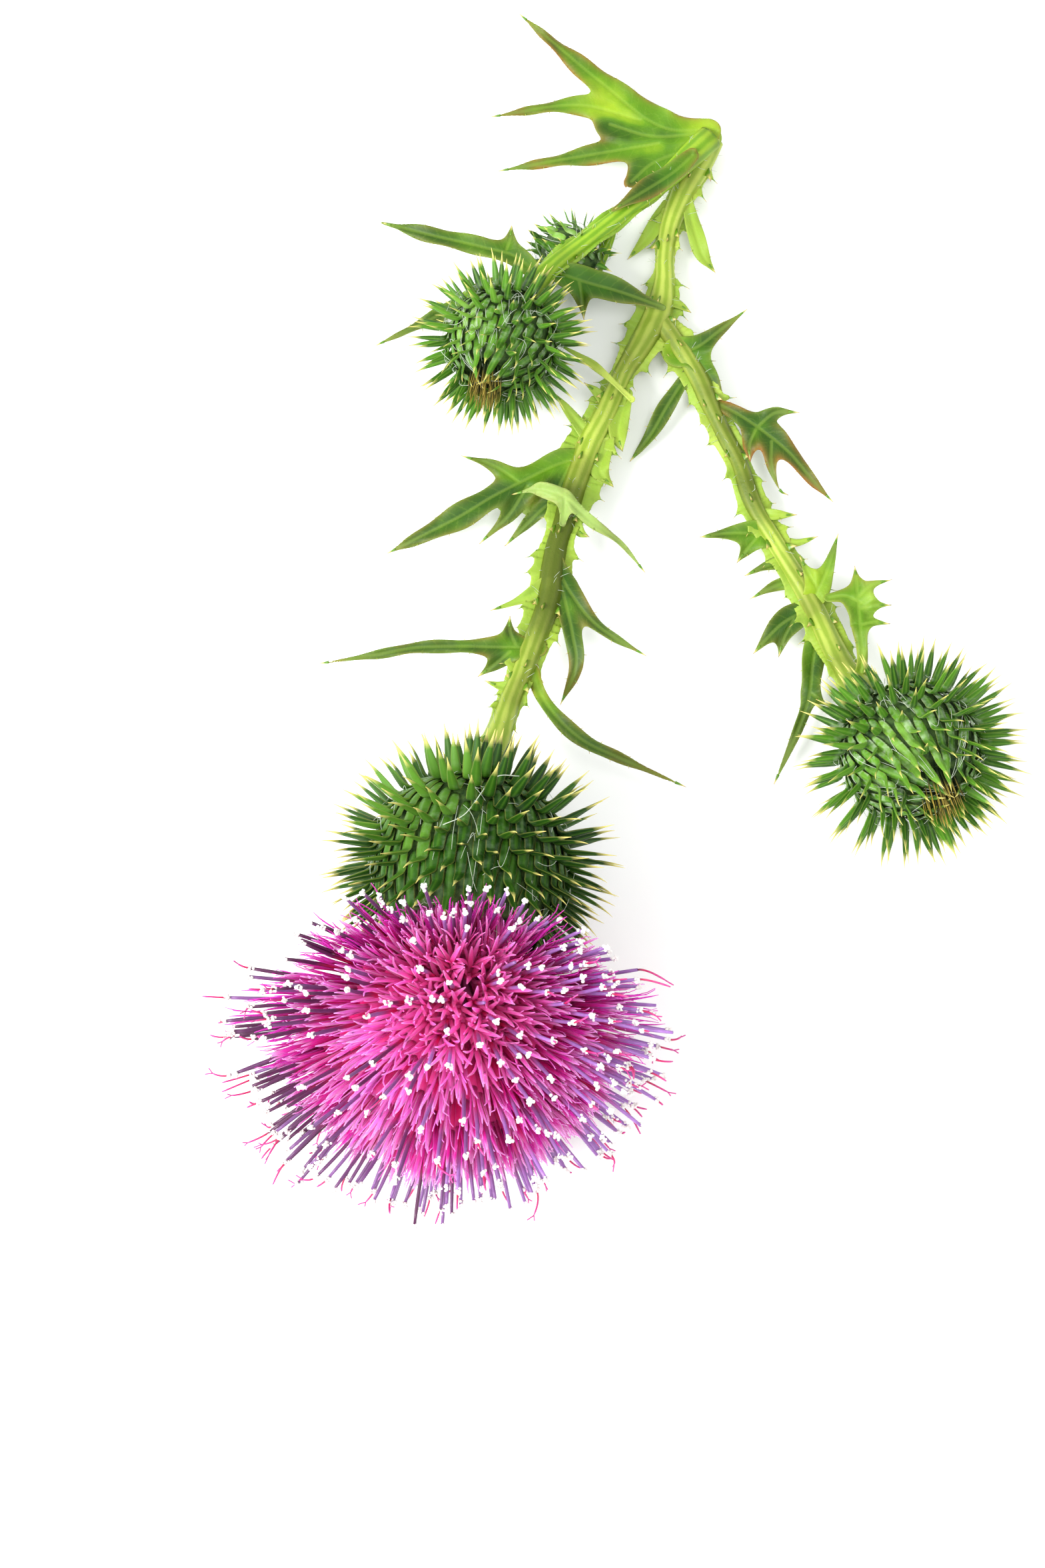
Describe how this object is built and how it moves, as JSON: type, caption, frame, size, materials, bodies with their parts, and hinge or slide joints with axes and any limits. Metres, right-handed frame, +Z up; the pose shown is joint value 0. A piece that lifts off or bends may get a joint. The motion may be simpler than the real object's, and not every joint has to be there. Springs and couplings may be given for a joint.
{
  "type": "cut thistle sprig with an open flower head",
  "caption": "Cut sprig of spear thistle lying flat: an open magenta flower head, green spiny buds, a forked winged stem and spiny leaves.",
  "frame": {"origin": "middle of the sprig's footprint, on the surface that it lies on", "axes": "+Z up from the surface, +Y along the stem from the open flower towards the cut end, +X towards the right bud"},
  "size_m": [0.0985, 0.1662, 0.0491],
  "materials": {
    "stem": "satin",
    "young_stem": "satin",
    "leaf": "satin",
    "dark_leaf": "satin",
    "pale_leaf": "satin",
    "bract": "satin",
    "receptacle": "matte",
    "floret": "matte",
    "bud_bristle": "matte"
  },
  "bodies": {
    "root": {"main_stem": "stem", "right_branch": "stem", "left_bud_stalk": "young_stem", "small_bud_stalk": "young_stem", "flower_receptacle": "receptacle", "flower_bracts_1": "bract", "flower_bracts_2": "bract", "flower_bracts_3": "bract", "flower_bracts_4": "bract", "flower_bracts_5": "bract", "flower_bracts_6": "bract", "florets_outer": "floret", "florets_middle": "floret", "florets_inner": "floret", "right_bud_core": "receptacle", "right_bud_bracts_1": "bract", "right_bud_bracts_2": "bract", "right_bud_bracts_3": "bract", "right_bud_bracts_4": "bract", "right_bud_tip": "bud_bristle", "left_bud_core": "receptacle", "left_bud_bracts_1": "bract", "left_bud_bracts_2": "bract", "left_bud_bracts_3": "bract", "left_bud_bracts_4": "bract", "left_bud_tip": "bud_bristle", "small_bud_core": "receptacle", "small_bud_bracts_1": "bract", "small_bud_bracts_2": "bract", "top_leaf": "leaf", "axil_leaf": "dark_leaf", "left_bud_leaf_inner": "dark_leaf", "left_bud_leaf_upper": "leaf", "left_bud_leaf_lower": "leaf", "prickle_leaf": "pale_leaf", "fork_leaf": "leaf", "under_fork_leaf": "dark_leaf", "lobed_leaf": "leaf", "branch_leaf": "leaf", "branch_spur_upper": "leaf", "branch_spur_lower": "leaf", "shoulder_leaf": "leaf", "tall_leaf": "pale_leaf", "dark_leaf": "dark_leaf", "hanging_leaf": "leaf", "left_stem_leaf": "leaf", "arching_leaf": "pale_leaf", "forked_leaf": "leaf", "pale_leaf": "pale_leaf", "long_left_leaf": "leaf", "low_right_leaf": "leaf"}
  },
  "joints": []
}
